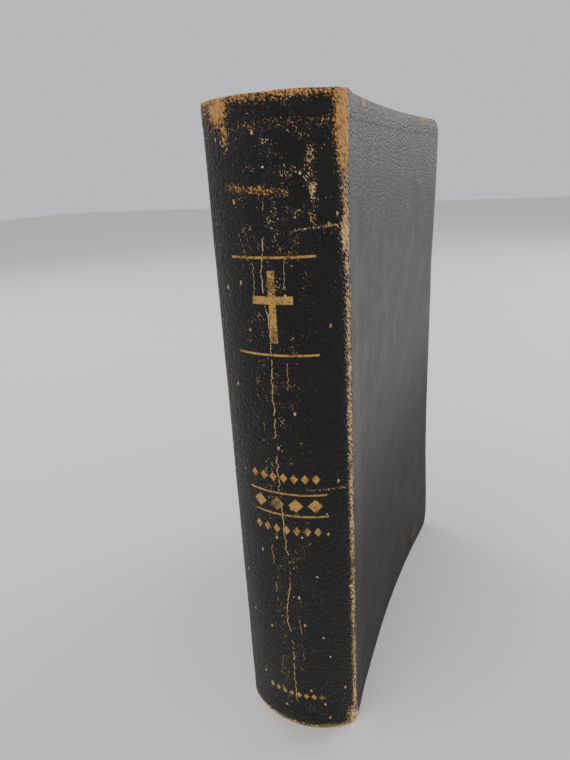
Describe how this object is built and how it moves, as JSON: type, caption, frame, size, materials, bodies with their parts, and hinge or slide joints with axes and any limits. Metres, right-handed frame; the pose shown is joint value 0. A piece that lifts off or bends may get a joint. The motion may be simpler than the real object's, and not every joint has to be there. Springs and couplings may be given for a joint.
{
  "type": "bible",
  "caption": "Closed leather-bound bible standing on its tail edge, with opening covers, flyleaves and page groups.",
  "frame": {"origin": "bottom centre of the closed book, on the surface it stands on", "axes": "+Z from the tail to the head, the spine faces -Y, the front cover faces +X"},
  "size_m": [0.0388, 0.1362, 0.197],
  "materials": {
    "leather": "worn black grained leather, soft sheen",
    "board": "matte grey-brown flexible board",
    "endpaper": "matte aged endpaper",
    "pages": "thin aged paper with worn gilt edges",
    "mull": "glued open gauze",
    "tape": "woven linen tape",
    "band": "silk wound end band"
  },
  "bodies": {
    "page_group_1": {"signature_01": "pages", "signature_02": "pages", "signature_03": "pages", "signature_04": "pages", "signature_05": "pages", "signature_06": "pages", "signature_07": "pages", "spine_leather_1": "leather", "spine_mull_1": "mull", "sewing_tapes_1": "tape", "head_band_1": "band", "tail_band_1": "band"},
    "page_group_2": {"signature_08": "pages", "signature_09": "pages", "signature_10": "pages", "signature_11": "pages", "signature_12": "pages", "signature_13": "pages", "signature_14": "pages", "spine_leather_2": "leather", "spine_mull_2": "mull", "sewing_tapes_2": "tape", "head_band_2": "band", "tail_band_2": "band"},
    "page_group_3": {"signature_15": "pages", "signature_16": "pages", "signature_17": "pages", "signature_18": "pages", "signature_19": "pages", "signature_20": "pages", "signature_21": "pages", "spine_leather_3": "leather", "spine_mull_3": "mull", "sewing_tapes_3": "tape", "head_band_3": "band", "tail_band_3": "band"},
    "page_group_4": {"signature_22": "pages", "signature_23": "pages", "signature_24": "pages", "signature_25": "pages", "signature_26": "pages", "signature_27": "pages", "signature_28": "pages", "spine_leather_4": "leather", "spine_mull_4": "mull", "sewing_tapes_4": "tape", "head_band_4": "band", "tail_band_4": "band"},
    "front_cover": {"front_cover_leather": "leather", "front_board": "board", "front_pastedown": "endpaper"},
    "front_flyleaf": {"front_flyleaf": "endpaper"},
    "back_cover": {"back_cover_leather": "leather", "back_board": "board", "back_pastedown": "endpaper"},
    "back_flyleaf": {"back_flyleaf": "endpaper"}
  },
  "joints": [
    {"name": "gutter_3", "type": "hinge", "parent": "page_group_4", "child": "page_group_3", "pos_m": [-0.00819, -0.06712, 0], "axis": [0, 0, 1], "range_deg": [-30, 0]},
    {"name": "gutter_2", "type": "hinge", "parent": "page_group_3", "child": "page_group_2", "pos_m": [0, -0.06835, 0], "axis": [0, 0, 1], "range_deg": [-120, 0]},
    {"name": "gutter_1", "type": "hinge", "parent": "page_group_2", "child": "page_group_1", "pos_m": [0.00819, -0.06712, 0], "axis": [0, 0, 1], "range_deg": [-30, 0]},
    {"name": "front_cover_hinge", "type": "hinge", "parent": "page_group_1", "child": "front_cover", "pos_m": [0.0197, -0.057, 0], "axis": [0, 0, 1], "range_deg": [-175, 0]},
    {"name": "back_cover_hinge", "type": "hinge", "parent": "page_group_4", "child": "back_cover", "pos_m": [-0.0197, -0.057, 0], "axis": [0, 0, 1], "range_deg": [0, 175]},
    {"name": "front_flyleaf_turn", "type": "hinge", "parent": "page_group_1", "child": "front_flyleaf", "pos_m": [0.01634, -0.0549, 0], "axis": [0, 0, 1], "range_deg": [-87.5, 0]},
    {"name": "back_flyleaf_turn", "type": "hinge", "parent": "page_group_4", "child": "back_flyleaf", "pos_m": [-0.01634, -0.0549, 0], "axis": [0, 0, 1], "range_deg": [0, 87.5]}
  ],
  "couplings": [
    {"joint": "front_flyleaf_turn", "follows": "front_cover_hinge", "ratio": 0.5},
    {"joint": "back_flyleaf_turn", "follows": "back_cover_hinge", "ratio": 0.5}
  ]
}
